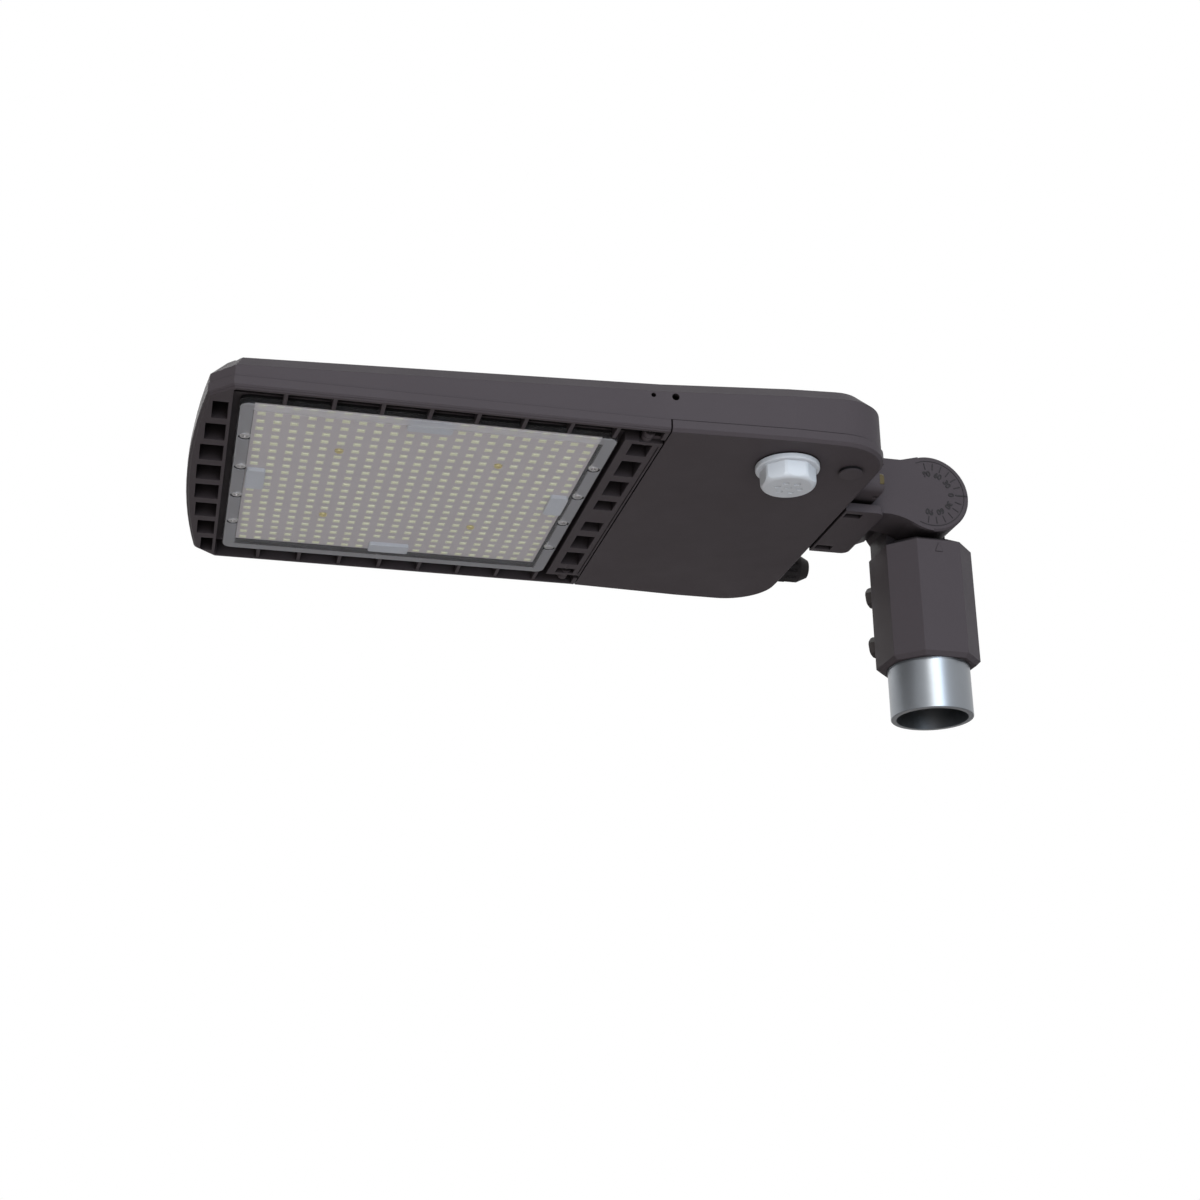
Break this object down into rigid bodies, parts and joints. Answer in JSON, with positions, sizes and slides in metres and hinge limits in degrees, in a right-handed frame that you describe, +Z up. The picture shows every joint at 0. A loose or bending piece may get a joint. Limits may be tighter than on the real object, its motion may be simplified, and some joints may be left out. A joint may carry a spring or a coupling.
{
  "type": "shoebox area light",
  "caption": "Wedge-shaped shoebox area light with LED board, hinged driver door, sensor and tilting arm on a slip fitter, clamped on the end of a pole tenon.",
  "frame": {"origin": "centre of the tenon's free lower end, on the pole's axis", "axes": "+Z up along the pole's axis, +X from the light's nose towards the pole, +Y across the light"},
  "size_m": [0.5784, 0.2966, 0.1963],
  "materials": {
    "bronze_coat": "die-cast aluminium with a dark bronze powder coat, fine texture",
    "galvanised_steel": "galvanised pipe",
    "zinc_steel": "yellow zinc plated",
    "black_steel": "black oxide",
    "stainless_steel": "plain stainless",
    "brass": "plain",
    "sheet_steel": "zinc plated sheet",
    "clear_polycarbonate": "clear moulding",
    "silicone_black": "matt silicone",
    "silicone_white": "translucent silicone",
    "board_white": "white solder mask seen through the lens",
    "led_phosphor": "yellow phosphor",
    "white_plastic": "white moulding",
    "dark_plastic": "dark moulding",
    "orange_plastic": "plain",
    "driver_case": "plain aluminium case",
    "grey_plastic": "plain",
    "red_insulation": "wire insulation"
  },
  "bodies": {
    "pole_end": {"tenon_stub": "galvanised_steel"},
    "fitter": {"slip_fitter": "bronze_coat", "set_screws": "black_steel"},
    "head": {"arm_bracket": "bronze_coat", "knuckle_bolt": "stainless_steel", "knuckle_washers": "stainless_steel", "arm_bolts": "zinc_steel", "arm_washers": "zinc_steel", "arm_gasket": "silicone_black", "housing": "bronze_coat", "led_board": "board_white", "led_chips": "led_phosphor", "board_screws": "brass", "lens_cover": "clear_polycarbonate", "lens_gasket": "silicone_black", "lens_screws": "stainless_steel", "lens_pads": "silicone_white", "door_clips": "stainless_steel", "hinge_pins": "stainless_steel", "selector_switch": "dark_plastic", "gland_body": "dark_plastic", "gland_nut": "dark_plastic", "gland_seal": "silicone_black", "gland_locknut": "dark_plastic", "gear_tray": "sheet_steel", "tray_screws": "stainless_steel", "led_driver": "driver_case", "surge_protector": "grey_plastic", "terminal_block": "grey_plastic", "led_leads": "red_insulation", "lead_grommet": "silicone_black", "earth_screw": "brass"},
    "door": {"door": "bronze_coat", "door_gasket": "silicone_black", "sensor": "white_plastic", "sensor_nut": "white_plastic", "sensor_gasket": "silicone_black"},
    "plug": {"selector_plug": "dark_plastic", "plug_seal": "silicone_black"},
    "slider": {"selector_slider": "orange_plastic"}
  },
  "joints": [
    {"name": "fitter_swivel", "type": "hinge", "parent": "pole_end", "child": "fitter", "pos_m": [0, 0, 0.083], "axis": [0, 0, 1], "continuous": true},
    {"name": "knuckle_tilt", "type": "hinge", "parent": "fitter", "child": "head", "pos_m": [-0.002, 0, 0.166], "axis": [0, 1, 0], "range_deg": [-10, 90]},
    {"name": "door_hinge", "type": "hinge", "parent": "head", "child": "door", "pos_m": [-0.248, 0, 0.1446], "axis": [0, 1, 0], "range_deg": [0, 90]},
    {"name": "selector_plug_pull", "type": "slide", "parent": "door", "child": "plug", "axis": [0, 0, -1], "range_m": [0, 0.012]},
    {"name": "selector_slide", "type": "slide", "parent": "head", "child": "slider", "axis": [1, 0, 0], "range_m": [0, 0.0056]}
  ]
}
